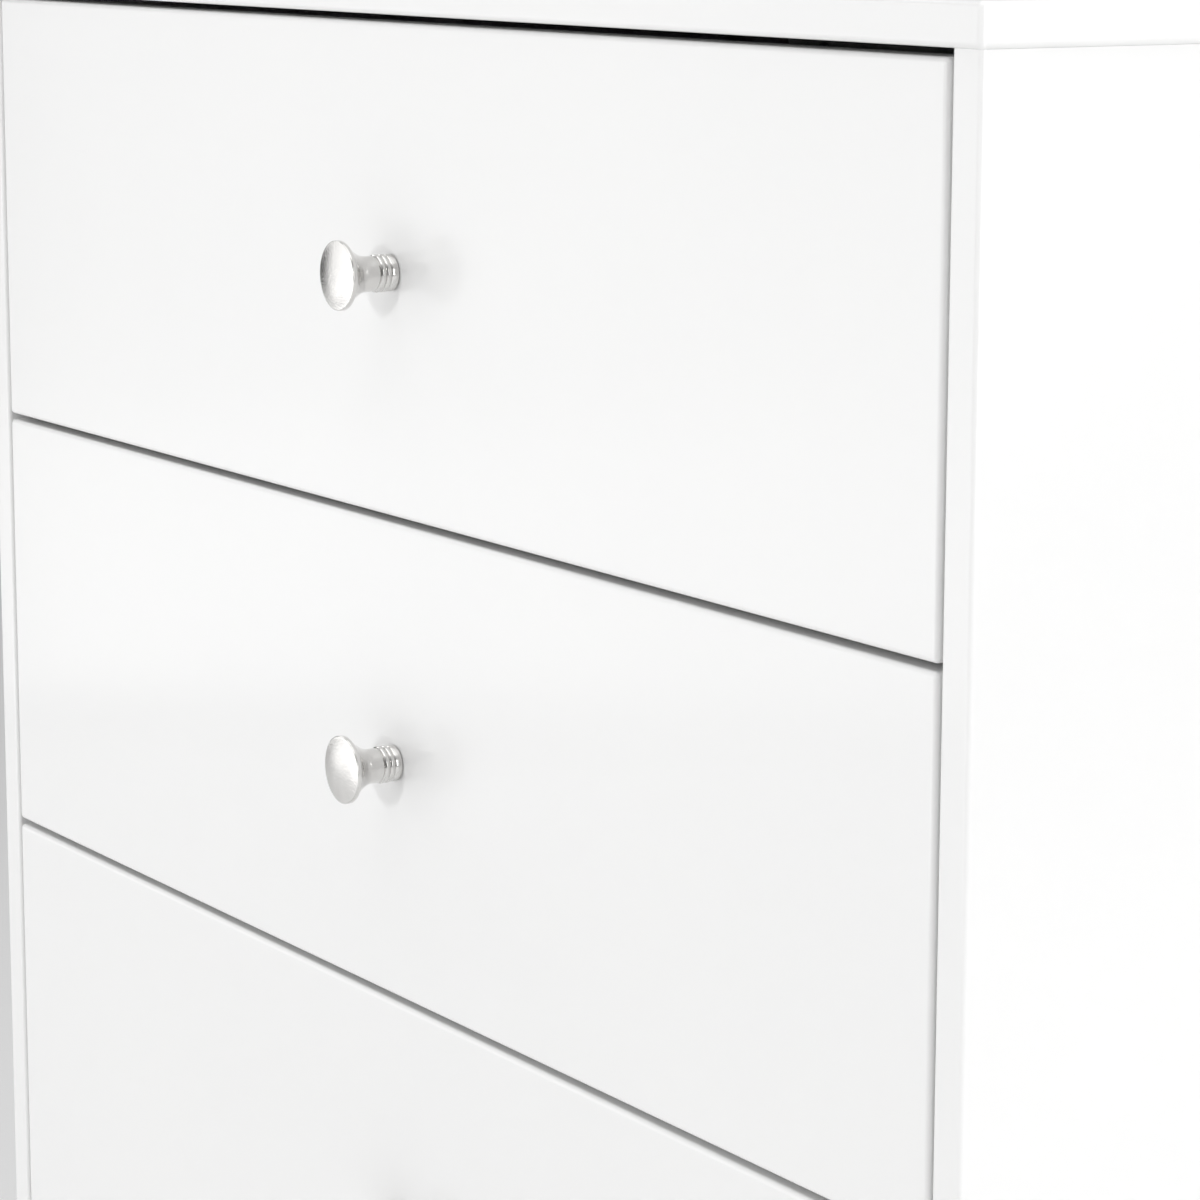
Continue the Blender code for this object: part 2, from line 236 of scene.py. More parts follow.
class Recipe(NodeDesk):
    """One material while its nodes are put together."""

    def __init__(self, name: str) -> None:
        """Start a material with a Principled shader.

        Args:
            name: The material's name.
        """
        self.material = bpy.data.materials.new(name)
        self.material.use_nodes = True
        super().__init__(self.material.node_tree)
        self.shader = self.tree.nodes["Principled BSDF"]
        self.place = self.node("TexCoord").output("Object")
        self.normal = self.place.output("Normal")

    def dress(self, **values: object) -> Material:
        """Set the shader's sockets.

        Args:
            values: Values or links by socket, spaces in a socket's name written as underscores.

        Returns:
            The material.
        """
        for name, value in values.items():
            self.feed(self.shader.inputs[name.replace("_", " ")], value)
        return self.material

    def noise(
        self, scale: float, detail: float = 2.0, roughness: float = 0.5, stretch: Triple = EVEN
    ) -> Signal:
        """Add noise on the object's own place.

        Args:
            scale: Features in a metre.
            detail: Finer layers over the first.
            roughness: How strong each finer layer is.
            stretch: How much it is squeezed along each axis.

        Returns:
            The noise.
        """
        place = self.place
        if stretch != EVEN:
            place = self.node("Mapping", None, {"Vector": self.place, "Scale": stretch})
        sockets = {"Vector": place, "Scale": scale, "Detail": detail, "Roughness": roughness}
        return self.node("TexNoise", None, sockets)

    def patches(self, noise: Signal, start: float = 0.0, end: float = 1.0) -> Signal:
        """Return a noise with more contrast, taken to start..end."""
        return self.span(noise, *PATCH_RANGE, start, end)

    def mix(self, mask: Number, first: object, second: object) -> Signal:
        """Return a colour between first (mask 0) and second (mask 1)."""
        return self.node("Mix", {"data_type": "RGBA"}, {0: mask, 6: first, 7: second}, 2)

    def facing(self, facing: Facing) -> Signal:
        """Return 1 where the surface looks in a direction, falling to 0 by about 60 degrees."""
        return self.span(self.along(self.normal, facing.value), 0.5, SQUARE_ON)

    def bump(self, height: Signal, depth: float, under: Signal | None = None) -> Signal:
        """Return a normal raised by `height` times `depth` metres, over another bump."""
        sockets = {"Strength": 1.0, "Distance": depth, "Height": height}
        return self.node("Bump", None, sockets if under is None else {**sockets, "Normal": under})


# ---- finishes


@dataclass(frozen=True)
class Foil:
    """Board wrapped in printed foil: smooth, faintly wavy, with the fine skin that the press leaves."""

    name: str
    tint: Colour
    shade: Colour
    roughness: float
    skin_size: float = 0.0011
    skin_depth: float = 1.2e-6
    wave_size: float = 0.14
    wave_depth: float = 2e-5
    cloud_scale: float = 3.1
    rub_scale: float = 9.0
    rub_swing: float = 0.03
    lacquer: float = 0.0
    lacquer_roughness: float = 0.12

    def make(self) -> Material:
        """Build the material.

        Returns:
            The finish, ready for a piece.
        """
        recipe = Recipe(self.name)
        cloud = recipe.noise(self.cloud_scale, detail=3.0)
        colour = recipe.mix(recipe.patches(cloud), self.shade, self.tint)
        rub = recipe.noise(self.rub_scale)
        gloss = rub * self.rub_swing + (self.roughness - self.rub_swing / 2)
        wave = recipe.bump(recipe.noise(1 / self.wave_size, detail=1.0), self.wave_depth)
        skin = recipe.bump(recipe.noise(1 / self.skin_size, detail=1.0), self.skin_depth, wave)
        recipe.dress(Coat_Weight=self.lacquer, Coat_Roughness=self.lacquer_roughness)
        return recipe.dress(Base_Color=colour, Roughness=gloss, Normal=skin)


@dataclass(frozen=True)
class Chipboard:
    """The raw core of a board at its cut ends: pressed chips in pale browns."""

    name: str
    chip: float = 0.0022
    browns: Stops = ((0.0, (0.30, 0.20, 0.11)), (0.45, (0.52, 0.38, 0.24)), (1.0, (0.68, 0.53, 0.36)))
    roughness: float = 0.85
    relief: float = 0.0002

    def make(self) -> Material:
        """Build the material.

        Returns:
            The finish, ready for a piece.
        """
        recipe = Recipe(self.name)
        sockets = {"Vector": recipe.place, "Scale": 1 / self.chip}
        cells = recipe.node("TexVoronoi", None, sockets, "Color")
        tone = recipe.node("SeparateColor", None, {0: cells})
        colour = recipe.node("ValToRGB", {"stops": self.browns}, {0: tone})
        relief = recipe.bump(tone, self.relief)
        return recipe.dress(Base_Color=colour, Roughness=self.roughness, Normal=relief)


@dataclass(frozen=True)
class Hardboard:
    """Thin fibreboard, printed white on the side that shows and left brown on the other."""

    name: str
    printed: Facing
    fibre_scale: float = 260.0
    fibre_stretch: Triple = (1.0, 3.2, 1.0)
    stain_scale: float = 7.0
    stain_share: float = 0.25
    browns: Stops = (
        (0.25, (0.20, 0.125, 0.070)),
        (0.55, (0.33, 0.215, 0.125)),
        (0.8, (0.45, 0.31, 0.19)),
    )
    print_shade: Colour = (0.775, 0.775, 0.76)
    print_tint: Colour = (0.815, 0.815, 0.80)
    raw_roughness: float = 0.82
    print_roughness: float = 0.42
    screen_pitch: float = 0.0016
    screen_wobble: float = 0.4
    screen_share: float = 0.6
    print_cover: float = 0.9
    relief: float = 0.00012

    def make(self) -> Material:
        """Build the material.

        Returns:
            The finish, ready for a piece.
        """
        recipe = Recipe(self.name)
        fibre = recipe.noise(self.fibre_scale, 5.0, 0.7, self.fibre_stretch)
        stain = recipe.noise(self.stain_scale, detail=3.0)
        streaks = fibre * (1 - self.stain_share) + stain * self.stain_share
        brown = recipe.node("ValToRGB", {"stops": self.browns}, {0: streaks})
        white = recipe.mix(recipe.patches(stain), self.print_shade, self.print_tint)
        face = recipe.facing(self.printed)
        colour = recipe.mix(face, brown, white)
        across = "Z" if self.printed is Facing.FRONT else "Y"
        screen = self._ridges(recipe, "X") * self._ridges(recipe, across) * (1 - face)
        height = screen * self.screen_share + fibre * (1 - self.print_cover * face)
        gloss = recipe.span(face, 0.0, 1.0, self.raw_roughness, self.print_roughness)
        return recipe.dress(Base_Color=colour, Roughness=gloss, Normal=recipe.bump(height, self.relief))

    def _ridges(self, recipe: Recipe, axis: str) -> Signal:
        """Return the ridges, following one another along an axis, that the press's screen leaves."""
        size = {"Scale": math.tau / WAVE_RADIANS / self.screen_pitch, "Distortion": self.screen_wobble}
        return recipe.node("TexWave", {"bands_direction": axis}, {"Vector": recipe.place, **size}, "Fac")


@dataclass(frozen=True)
class MouldedPlastic:
    """White plastic from a mould, with a fine spark-eroded skin."""

    name: str
    tint: Colour
    shade_share: float = 0.965
    flow_scale: float = 18.0
    roughness: float = 0.42
    roughness_swing: float = 0.05
    skin_scale: float = 2600.0
    skin_depth: float = 6e-6

    def make(self) -> Material:
        """Build the material.

        Returns:
            The finish, ready for a piece.
        """
        recipe = Recipe(self.name)
        flow = recipe.noise(self.flow_scale)
        skin = recipe.bump(recipe.noise(self.skin_scale), self.skin_depth)
        shade: Colour = tuple(part * self.shade_share for part in self.tint)
        colour = recipe.mix(recipe.patches(flow), shade, self.tint)
        swing = self.roughness_swing
        gloss = recipe.patches(flow, self.roughness - swing, self.roughness + swing)
        return recipe.dress(Base_Color=colour, Roughness=gloss, Normal=skin)


@dataclass(frozen=True)
class Plating:
    """Plated metal: a bright skin over a faintly pebbled casting."""

    name: str
    tint: Colour
    roughness: float
    pebble_size: float
    pebble_depth: float
    face_depth: float = 0.0
    shade_share: float = 0.94
    smear_scale: float = 150.0
    smear_range: tuple[float, float] = (0.35, 0.65)
    roughness_range: tuple[float, float] = (0.8, 1.25)

    def make(self) -> Material:
        """Build the material.

        Returns:
            The finish, ready for a piece.
        """
        recipe = Recipe(self.name)
        smear = recipe.noise(self.smear_scale, detail=3.0)
        shade: Colour = tuple(part * self.shade_share for part in self.tint)
        colour = recipe.mix(recipe.span(smear, *self.smear_range), shade, self.tint)
        smooth, rough = (self.roughness * share for share in self.roughness_range)
        gloss = recipe.patches(smear, smooth, rough)
        pebble = recipe.noise(1 / self.pebble_size, 3.0, 0.65)
        depth = recipe.facing(Facing.FRONT) * self.face_depth + self.pebble_depth
        normal = recipe.bump(pebble * depth, 1.0)
        return recipe.dress(Base_Color=colour, Metallic=1.0, Roughness=gloss, Normal=normal)


@dataclass(frozen=True)
class Finishes:
    """Every finish of the chest, made once."""

    foil: Material
    box_foil: Material
    core: Material
    back_board: Material
    drawer_bottom: Material
    plastic: Material
    nickel: Material
    zinc: Material

    @classmethod
    def make(cls) -> "Finishes":
        """Build all the materials.

        Returns:
            The set of them.
        """
        foil = Foil("pressed_white_foil", (0.885, 0.885, 0.88), (0.87, 0.87, 0.868), 0.30, lacquer=0.6)
        tint, shade = (0.80, 0.80, 0.785), (0.775, 0.775, 0.762)
        box_foil = Foil("drawer_box_white_foil", tint, shade, 0.46, skin_size=0.0016, skin_depth=5e-6)
        nickel = Plating("turned_polished_nickel", (0.74, 0.73, 0.715), 0.11, 0.0009, 1.5e-6, 1.1e-4)
        zinc = Plating("bright_zinc_plate", (0.60, 0.615, 0.64), 0.30, 0.0012, 8e-6)
        return cls(
            foil=foil.make(),
            box_foil=box_foil.make(),
            core=Chipboard("raw_chipboard").make(),
            back_board=Hardboard("back_panel_hardboard", Facing.FRONT).make(),
            drawer_bottom=Hardboard("drawer_bottom_hardboard", Facing.UP).make(),
            plastic=MouldedPlastic("moulded_white_plastic", (0.80, 0.80, 0.785)).make(),
            nickel=nickel.make(),
            zinc=zinc.make(),
        )


# ---- the bench


class Bench:
    """Modelling operations, each of which first deselects all but its own piece."""

    MERGE = 1e-7

    @staticmethod
    def clear() -> None:
        """Leave edit mode and deselect everything."""
        if bpy.context.object and bpy.context.object.mode != "OBJECT":
            bpy.ops.object.mode_set(mode="OBJECT")
        bpy.ops.object.select_all(action="DESELECT")

    @staticmethod
    def take(piece: Object) -> None:
        """Select one piece alone and make it active.

        Args:
            piece: The piece.
        """
        Bench.clear()
        piece.select_set(True)
        bpy.context.view_layer.objects.active = piece

    @staticmethod
    def settled(name: str) -> Object:
        """Name the active object and put its place, turn and size into its mesh.

        Args:
            name: The object's and its mesh's name.

        Returns:
            The object.
        """
        piece = bpy.context.object
        piece.name = piece.data.name = name
        Bench.take(piece)
        bpy.ops.object.transform_apply(location=True, rotation=True, scale=True)
        return piece

    @staticmethod
    def block(name: str, low: Vector, high: Vector) -> Object:
        """Add a block between two corners.

        Args:
            name: The piece's name.
            low: Its lowest corner.
            high: Its highest corner.

        Returns:
            The block.
        """
        Bench.clear()
        bpy.ops.mesh.primitive_cube_add(size=1, location=(low + high) / 2, scale=high - low)
        return Bench.settled(name)

    @staticmethod
    def edit(piece: Object) -> None:
        """Enter edit mode on one piece with nothing selected.

        Args:
            piece: The piece.
        """
        Bench.take(piece)
        bpy.ops.object.mode_set(mode="EDIT")
        bpy.ops.mesh.select_all(action="DESELECT")

    @staticmethod
    def pick(piece: Object, wanted: Callable[[Element], bool], faces: bool = False) -> None:
        """Select edges, or faces, in edit mode.

        Args:
            piece: The piece in edit mode.
            wanted: Tells whether an edge or a face is selected.
            faces: Whether it is asked about the faces.
        """
        bpy.ops.mesh.select_mode(type="FACE" if faces else "EDGE")
        mesh = bmesh.from_edit_mesh(piece.data)
        mesh.normal_update()
        for element in mesh.faces if faces else mesh.edges:
            element.select_set(wanted(element))
        bmesh.update_edit_mesh(piece.data)

    @staticmethod
    def modify(piece: Object, kind: str, **settings: object) -> None:
        """Add a modifier and apply it.

        Args:
            piece: The piece that it changes.
            kind: The modifier's type.
            settings: Its settings.
        """
        Bench.take(piece)
        modifier = piece.modifiers.new(kind.lower(), kind)
        for name, value in settings.items():
            setattr(modifier, name, value)
        bpy.ops.object.modifier_apply(modifier=modifier.name)

    @staticmethod
    def soften(piece: Object, angle: float = 32.0, weighted: bool = True) -> None:
        """Shade a piece smooth.

        Args:
            piece: The piece.
            angle: Degrees past which an edge stays sharp.
            weighted: Whether the broad faces are kept flat.
        """
        Bench.take(piece)
        bpy.ops.object.shade_smooth_by_angle(angle=math.radians(angle))
        if weighted:
            Bench.modify(piece, "WEIGHTED_NORMAL", mode="FACE_AREA", weight=50, keep_sharp=True)

    @staticmethod
    def turned(name: str, rings: Rings, sides: int) -> Object:
        """Turn a closed shape about +Z.

        Args:
            name: The piece's name.
            rings: Height and radius of each ring from the foot to the end, in metres.
            sides: Sides of each ring.

        Returns:
            The piece, with its axis on Z.
        """
        Bench.clear()
        foot, radius = rings[0]
        bpy.ops.mesh.primitive_circle_add(
            vertices=sides, radius=radius, fill_type="NGON", location=(0, 0, foot)
        )
        piece = Bench.settled(name)
        bpy.ops.object.mode_set(mode="EDIT")
        bpy.ops.mesh.select_all(action="SELECT")
        for height, next_radius in rings[1:]:
            bpy.ops.mesh.extrude_region_move(TRANSFORM_OT_translate={"value": (0, 0, height - foot)})
            ratio = next_radius / radius
            bpy.ops.transform.resize(value=(ratio, ratio, 1), center_override=(0, 0, height))
            foot, radius = height, next_radius
        bpy.ops.mesh.select_all(action="SELECT")
        bpy.ops.mesh.remove_doubles(threshold=Bench.MERGE)
        bpy.ops.mesh.normals_make_consistent(inside=False)
        bpy.ops.object.mode_set(mode="OBJECT")
        return piece

    @staticmethod
    def sink_cross(head: Object, reach: float, half: float, floor: float, top: float) -> None:
        """Cut a cross recess into a turned head.

        Args:
            head: The head, its axis on Z.
            reach: Half the length of each arm.
            half: Half the width of each arm.
            floor: Height of the recess's floor.
            top: Height of the head's top.
        """
        for x, y in ((reach, half), (half, reach)):
            bar = Bench.block("bar", Vector((-x, -y, floor)), Vector((x, y, top + CUTTER_CLEARANCE)))
            Bench.modify(head, "BOOLEAN", operation="DIFFERENCE", solver="EXACT", object=bar)
            Bench.discard(bar)

    @staticmethod
    def copies(name: str, pattern: Object, places: Places) -> Object:
        """Copy a fastener to several places and join the copies.

        Args:
            name: The new piece's name.
            pattern: A shape whose head looks along +Z from the origin.
            places: Where each copy's origin goes, and the way its head looks.

        Returns:
            The joined piece.
        """
        made = []
        for place, facing in places:
            twin = pattern.copy()
            twin.data = pattern.data.copy()
            bpy.context.scene.collection.objects.link(twin)
            turn = facing.vector.to_track_quat("Z", "Y").to_matrix().to_4x4()
            twin.matrix_world = Matrix.Translation(place) @ turn
            made.append(twin)
        Bench.clear()
        for twin in made:
            twin.select_set(True)
        bpy.context.view_layer.objects.active = made[0]
        if len(made) > 1:
            bpy.ops.object.join()
        return Bench.settled(name)

    @staticmethod
    def discard(*pieces: Object) -> None:
        """Remove patterns and cutters that aren't part of the chest."""
        for piece in pieces:
            bpy.data.objects.remove(piece)


def place_piece(piece: Object, body: str, slot: Slot, finish: Material, *nodes: str) -> None:
    """Dress a piece and tie it to the frame.

    Args:
        piece: The finished mesh.
        body: The body that it moves with.
        slot: The record's slot that it takes its finish from; not used.
        finish: Its material.
        nodes: CAD nodes that it stands for.
    """
    piece.data.materials.clear()
    piece.data.materials.append(finish)
    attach(piece, body)
    if nodes:
        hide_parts(*nodes)
    LOG.info("%s: %d faces on %s", piece.name, len(piece.data.polygons), body)


# ---- boards


@dataclass
class Board:
    """A foiled board with its edges rounded over, in the place of one CAD node."""

    node: str
    body: str
    finish: Material
    rounding: Rounding
    radius: float
    slot: Slot = Slot.FOIL
    raw: Material | None = None
    segments: int = 8
    lift_top: float = 0.0

    def build(self) -> None:
        """Model the board and put it on its body."""
        low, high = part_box(self.node)
        high.z += self.lift_top
        piece = Bench.block(self.node + "_board", low, high)
        Bench.edit(piece)
        Bench.pick(piece, lambda edge: self._is_rounded(*(end.co for end in edge.verts), high))
        bpy.ops.mesh.bevel(
            offset=self.radius, offset_type="OFFSET", segments=self.segments, affect="EDGES"
        )
        bpy.ops.object.mode_set(mode="OBJECT")
        Bench.soften(piece)
        place_piece(piece, self.body, self.slot, self.finish, self.node)
        if self.raw:
            self._leave_raw(piece)

    def _is_rounded(self, a: Vector, b: Vector, high: Vector) -> bool:
        """Tell whether an edge is one of those that the rounding names.

        Args:
            a: One end of the edge.
            b: Its other end.
            high: The board's highest corner.

        Returns:
            Whether it is rounded over.
        """
        rounded = {
            Rounding.ALL: True,
            Rounding.UPRIGHT: abs(a.z - b.z) > self.radius,
            Rounding.LENGTHWISE: abs(a.x - b.x) > self.radius,
            Rounding.ALL_BUT_REAR: min(a.y, b.y) < high.y - self.radius / 2,
        }
        return rounded[self.rounding]

    def _leave_raw(self, piece: Object) -> None:
        """Leave the core bare at the board's foot, where it is cut.

        Args:
            piece: The board.
        """
        piece.data.materials.append(self.raw)
        Bench.edit(piece)
        Bench.pick(piece, lambda face: face.normal.dot(Facing.DOWN.vector) > SQUARE_ON, faces=True)
        piece.active_material_index = 1
        bpy.ops.object.material_slot_assign()
        bpy.ops.object.mode_set(mode="OBJECT")


@dataclass
class EasedCopy:
    """A copy of a CAD node whose sharp edges are eased, as a saw and a mould leave them."""

    node: str
    body: str
    finish: Material
    slot: Slot
    ease: float
    merge: float = 1e-6
    flat_angle: float = 1.0
    corner_angle: float = 40.0

    def build(self) -> None:
        """Copy the node, merge it and ease its edges."""
        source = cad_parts[self.node]
        piece = bpy.data.objects.new(self.node + "_eased", source.data.copy())
        bpy.context.scene.collection.objects.link(piece)
        piece.data.name = piece.name
        piece.data.materials.clear()
        Bench.edit(piece)
        bpy.ops.mesh.select_all(action="SELECT")
        bpy.ops.mesh.customdata_custom_splitnormals_clear()
        bpy.ops.mesh.remove_doubles(threshold=self.merge)
        bpy.ops.mesh.dissolve_limited(angle_limit=math.radians(self.flat_angle))
        bpy.ops.object.mode_set(mode="OBJECT")
        Bench.modify(
            piece,
            "BEVEL",
            width=self.ease,
            segments=2,
            limit_method="ANGLE",
            angle_limit=math.radians(self.corner_angle),
            use_clamp_overlap=True,
        )
        Bench.soften(piece, self.corner_angle)
        place_piece(piece, self.body, self.slot, self.finish, self.node)


# ---- fasteners


@dataclass
class Fasteners:
    """Patterns of the small steel parts, each modelled once with its head along +Z."""

    zinc: Material
    head_radius: float = 0.0032
    head_proud: float = 0.0005
    head_arm: float = 0.75
    cam_radius: float = 0.0075
    cam_proud: float = 0.0004
    cam_arm: float = 0.62
    nail_radius: float = 0.0026
    nail_proud: float = 0.0007
    nail_sides: int = 14
    nail_crease: float = 50.0
    sunk: float = 0.0004
    foot_share: float = 0.94
    dome: Profile = ((0.1, 1.0), (0.5, 0.97), (0.8, 0.86), (0.95, 0.66), (1.0, 0.4))
    arm_half: float = 0.11
    recess_share: float = 0.7
    sides: int = 28
    crease: float = 35.0

    def __post_init__(self) -> None:
        """Model every pattern."""
        screw = self._domed(self.head_radius, self.head_proud)
        self.screw = self._recessed("pattern_screw", screw, self.head_radius, self.head_arm)
        cam = self._domed(self.cam_radius, self.cam_proud)
        self.cam = self._recessed("pattern_cam", cam, self.cam_radius, self.cam_arm)
        nail = self._domed(self.nail_radius, self.nail_proud)
        self.nail = Bench.turned("pattern_nail", nail, self.nail_sides)
        Bench.soften(self.nail, self.nail_crease, False)

    def _domed(self, radius: float, proud: float) -> Rings:
        """Return the rings of a low domed head."""
        foot = (-self.sunk, radius * self.foot_share)
        return [foot] + [(proud * up, radius * out) for up, out in self.dome]

    def _recessed(self, name: str, rings: Rings, radius: float, arm: float) -> Object:
        """Turn a head and sink a cross in it.

        Args:
            name: The pattern's name.
            rings: Height and radius of its rings.
            radius: The head's radius.
            arm: How much of the radius each arm of the cross takes up.

        Returns:
            The pattern.
        """
        head = Bench.turned(name, rings, self.sides)
        floor, top = -self.sunk * self.recess_share, rings[-1][0]
        Bench.sink_cross(head, radius * arm, radius * self.arm_half, floor, top)
        Bench.soften(head, self.crease, False)
        return head

    def spread(self, name: str, body: str, pattern: Object, places: Places) -> None:
        """Copy a pattern to its places and put the copies, as one piece, on a body."""
        place_piece(Bench.copies(name, pattern, places), body, Slot.ZINC, self.zinc)

    def discard(self) -> None:
        """Remove the patterns."""
        Bench.discard(self.screw, self.cam, self.nail)


# ---- the knobs


@dataclass
class KnobTurning:
    """The turned knob: collar, two beads, waisted neck, thin rim and a low domed face.

    A profile's points are heights and radii. Those of the rim are heights from its back or its front
    and how far they lie inside its radius.
    """

    collar_radius: float = 0.0077
    collar_top: float = 0.0030
    collar_foot: tuple[float, float] = (0.0003, 0.0004)
    collar_lip: tuple[float, float] = (0.0003, 0.0002)
    groove_radius: float = 0.0071
    grooves: tuple[float, ...] = (0.0036, 0.0061, 0.0086)
    bead_radius: float = 0.0080
    bead_tops: tuple[float, ...] = (0.0048, 0.0073)
    bead_turns: tuple[float, ...] = (25, 50, 90, 130, 155)
    bead_reach: float = 0.92
    bead_fullness: float = 0.6
    neck_lip: tuple[float, float] = (0.00025, 0.0002)
    flare: Profile = (
        (0.0093, 0.0074),
        (0.0112, 0.00742),
        (0.0130, 0.0075),
        (0.0150, 0.0079),
        (0.0170, 0.0088),
        (0.0190, 0.0101),
        (0.0208, 0.0114),
        (0.0222, 0.0126),
        (0.0232, 0.0134),
    )
    flare_steps: int = 5
    rim_radius: float = 0.0145
    rim_thickness: float = 0.0019
    rim_back: Profile = ((-0.0001, 0.00015), (0.0002, 0.0))
    rim_front: Profile = ((-0.0003, 0.0), (-0.0001, 0.0001), (0.0, 0.0003), (0.00002, 0.00055))
    dome_rise: float = 0.0013
    dome_inset: float = 0.0007
    dome_rings: int = 12
    sides: int = 96
    crease: float = 42.0

    def outline(self, length: float) -> Rings:
        """Return the rings from the foot of the collar to the middle of the face.

        Args:
            length: How far the knob stands out of the front.

        Returns:
            Height and radius of each ring.
        """
        radius, top = self.collar_radius, self.collar_top
        (rise, step), (lip_rise, lip_step) = self.collar_foot, self.collar_lip
        rings = [(0.0, radius - step), (rise, radius), (top, radius)]
        rings.append((top + lip_rise, radius - lip_step))
        for groove, bead in zip(self.grooves, self.bead_tops):
            rings += self._bead(groove, bead)
        last, (rise, step) = self.grooves[-1], self.neck_lip
        rings += [(last, self.groove_radius), (last + rise, self.groove_radius + step)]
        rings += self._smooth(self.flare)
        rim_end = length - self.dome_rise
        rim_start = rim_end - self.rim_thickness
        rings += [(rim_start + up, self.rim_radius - inside) for up, inside in self.rim_back]
        rings += [(rim_end + up, self.rim_radius - inside) for up, inside in self.rim_front]
        crown = self.rim_radius - self.dome_inset
        for step in range(self.dome_rings - 1, 0, -1):
            share = step / self.dome_rings
            rings.append((length - self.dome_rise * share**2, crown * share))
        return rings

    def _bead(self, groove: float, top: float) -> Rings:
        """Return the rings of one groove and the bead after it.

        Args:
            groove: Height of the groove's bottom.
            top: Height of the bead's top.

        Returns:
            Height and radius of each ring.
        """
        half = (top - groove) * self.bead_reach
        swell = self.bead_radius - self.groove_radius
        rings = [(groove, self.groove_radius)]
        for turn in self.bead_turns:
            angle = math.radians(turn)
            radius = self.groove_radius + swell * math.sin(angle) ** self.bead_fullness
            rings.append((top - half * math.cos(angle), radius))
        return rings

    def _smooth(self, points: Profile) -> Rings:
        """Return a smooth run of rings through the given ones.

        Args:
            points: Height and radius of the rings that it goes through.

        Returns:
            Height and radius of each ring.
        """
        spots = [Vector(point) for point in points]
        run = []
        for index in range(len(spots) - 1):
            before = spots[max(index - 1, 0)]
            start, end = spots[index], spots[index + 1]
            after = spots[min(index + 2, len(spots) - 1)]
            for step in range(self.flare_steps):
                t = step / self.flare_steps
                spot = 0.5 * (
                    2 * start
                    + (end - before) * t
                    + (2 * before - 5 * start + 4 * end - after) * t**2
                    + (3 * start - before - 3 * end + after) * t**3
                )
                run.append((spot.x, spot.y))
        run.append(tuple(spots[-1]))
        return run

    def pattern(self, length: float) -> Object:
        """Turn the knob once.

        Args:
            length: How far the knob stands out of the front.

        Returns:
            The knob, its foot at the origin and its face towards +Z.
        """
        piece = Bench.turned("pattern_knob", self.outline(length), self.sides)
        Bench.soften(piece, self.crease, False)
        return piece


@dataclass
class KnobScrew:
    """The machine screw that holds a knob, its head along +Z. The head's points are shares of it."""

    head_radius: float = 0.0040
    head_height: float = 0.0021
    head_room: float = 0.0024
    head_seat: Profile = ((0.0, 0.96), (0.0002, 1.0))
    head_dome: Profile = ((0.45, 1.0), (0.75, 0.93), (0.93, 0.72), (1.0, 0.42))
    shank_radius: float = 0.0019
    shank_end: float = -0.00005
    tip_length: float = 0.001
    tip_share: float = 0.6
    arm: float = 0.62
    arm_half: float = 0.12
    recess_floor: float = 0.35
    sides: int = 32
    crease: float = 35.0

    def pattern(self, room: float) -> Object:
        """Turn the screw once.

        Args:
            room: The whole length that the screw has.

        Returns:
            The screw, the underside of its head at the origin.
        """
        tip = self.head_room - room
        shank, height, radius = self.shank_radius, self.head_height, self.head_radius
        rings = [(tip, shank * self.tip_share), (tip + self.tip_length, shank)]
        rings.append((self.shank_end, shank))
        rings += [(up, radius * out) for up, out in self.head_seat]
        rings += [(height * up, radius * out) for up, out in self.head_dome]
        piece = Bench.turned("pattern_knob_screw", rings, self.sides)
        floor = height * self.recess_floor
        Bench.sink_cross(piece, radius * self.arm, radius * self.arm_half, floor, height)
        Bench.soften(piece, self.crease, False)
        return piece


# ---- the case


